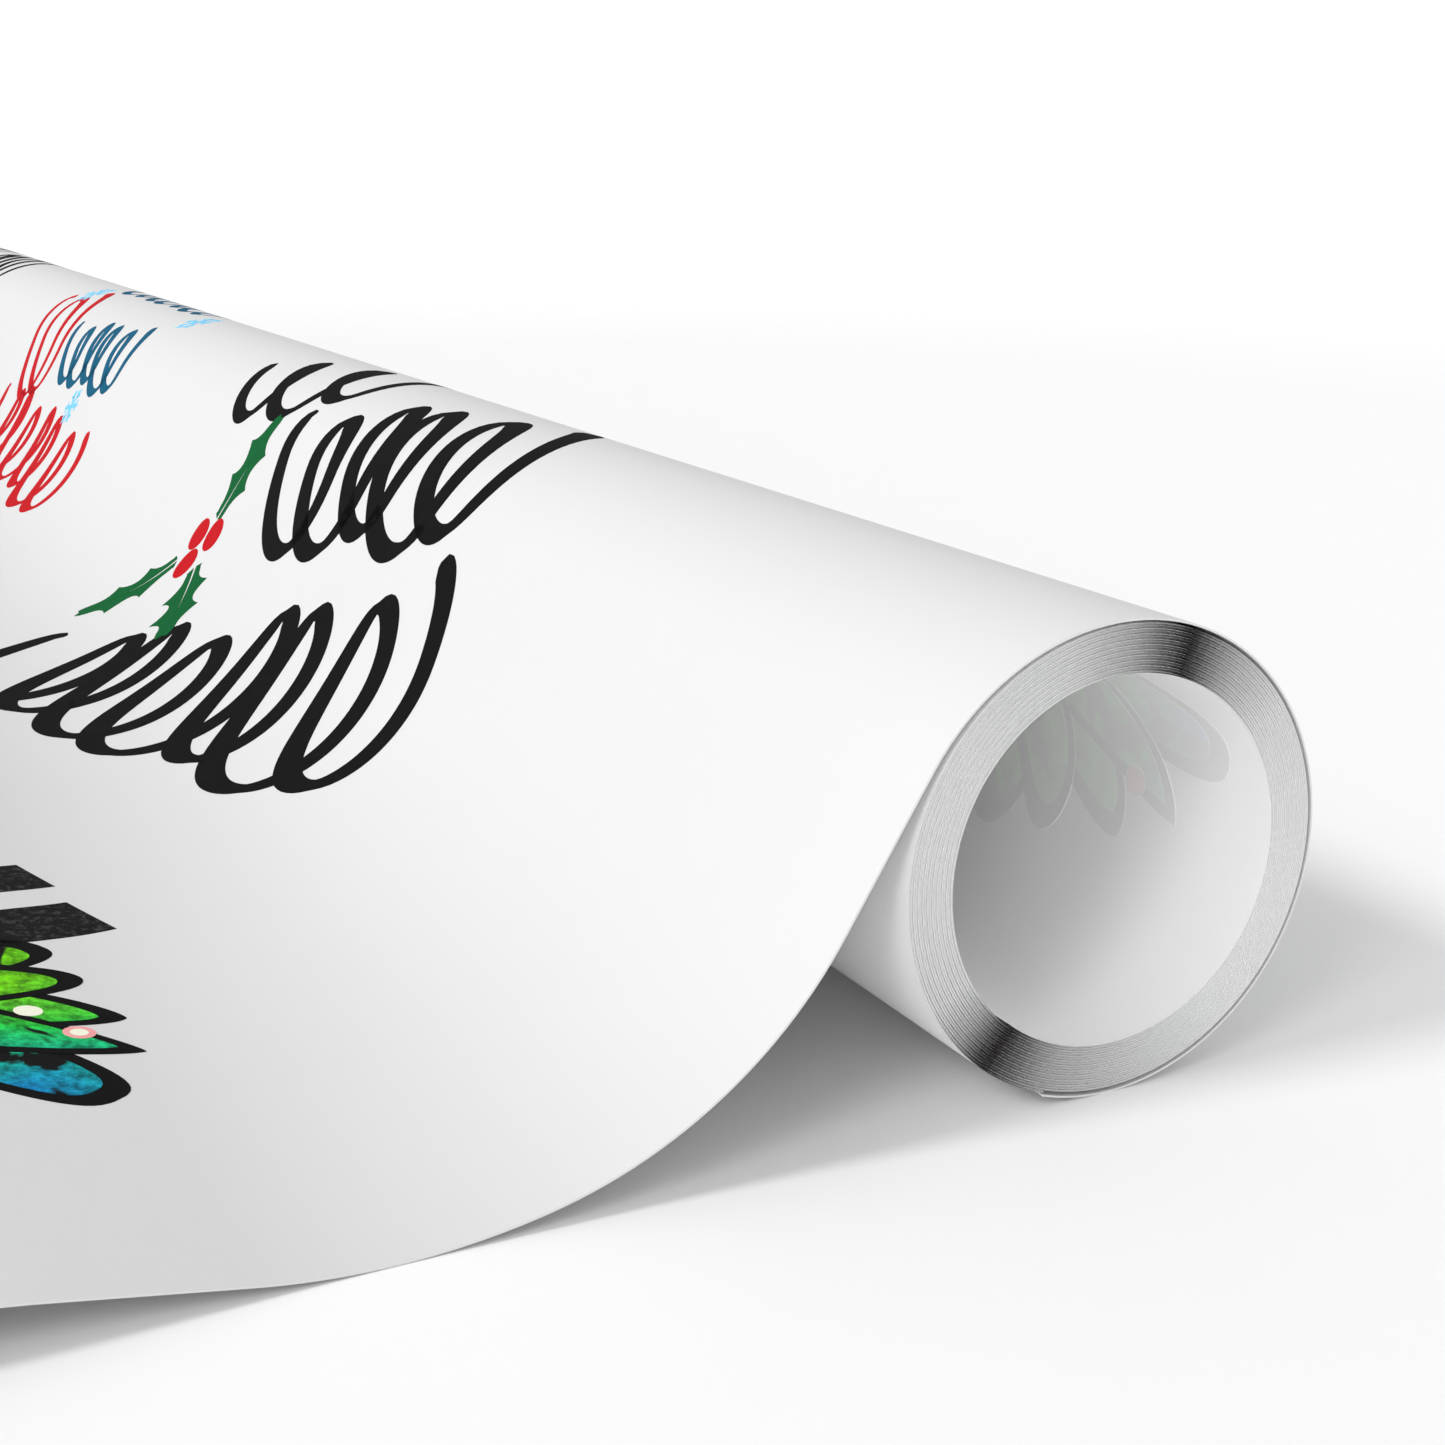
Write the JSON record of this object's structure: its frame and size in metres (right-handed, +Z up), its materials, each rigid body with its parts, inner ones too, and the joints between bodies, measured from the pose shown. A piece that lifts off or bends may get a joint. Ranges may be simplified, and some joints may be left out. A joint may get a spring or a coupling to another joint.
{
  "type": "wrapping paper roll",
  "caption": "Hollow coreless roll of wrapping paper lying on a table, its outer end pulled off over the top and laid down in a low wave.",
  "frame": {"origin": "on the roll's axis, halfway along the roll", "axes": "+X along the roll, -Y the way the free sheet runs over the table, +Z up"},
  "size_m": [0.762, 0.2055, 0.0508],
  "materials": {
    "printed_paper": "satin",
    "paper_back": "matte",
    "print_ink": "satin"
  },
  "bodies": {
    "sheet": {"outer_turn": "printed_paper", "free_sheet": "printed_paper"},
    "roll": {"inner_turn": "paper_back", "wound_turns": "printed_paper"},
    "tail": {"tail_sheet": "printed_paper"}
  },
  "joints": [
    {"name": "roll_spin", "type": "hinge", "parent": "sheet", "child": "roll", "pos_m": [0, 0, 0], "axis": [1, 0, 0], "continuous": true},
    {"name": "tail_lift", "type": "hinge", "parent": "sheet", "child": "tail", "pos_m": [0, -0.07734, -0.02516], "axis": [-1, 0, 0], "range_deg": [0, 60]}
  ]
}
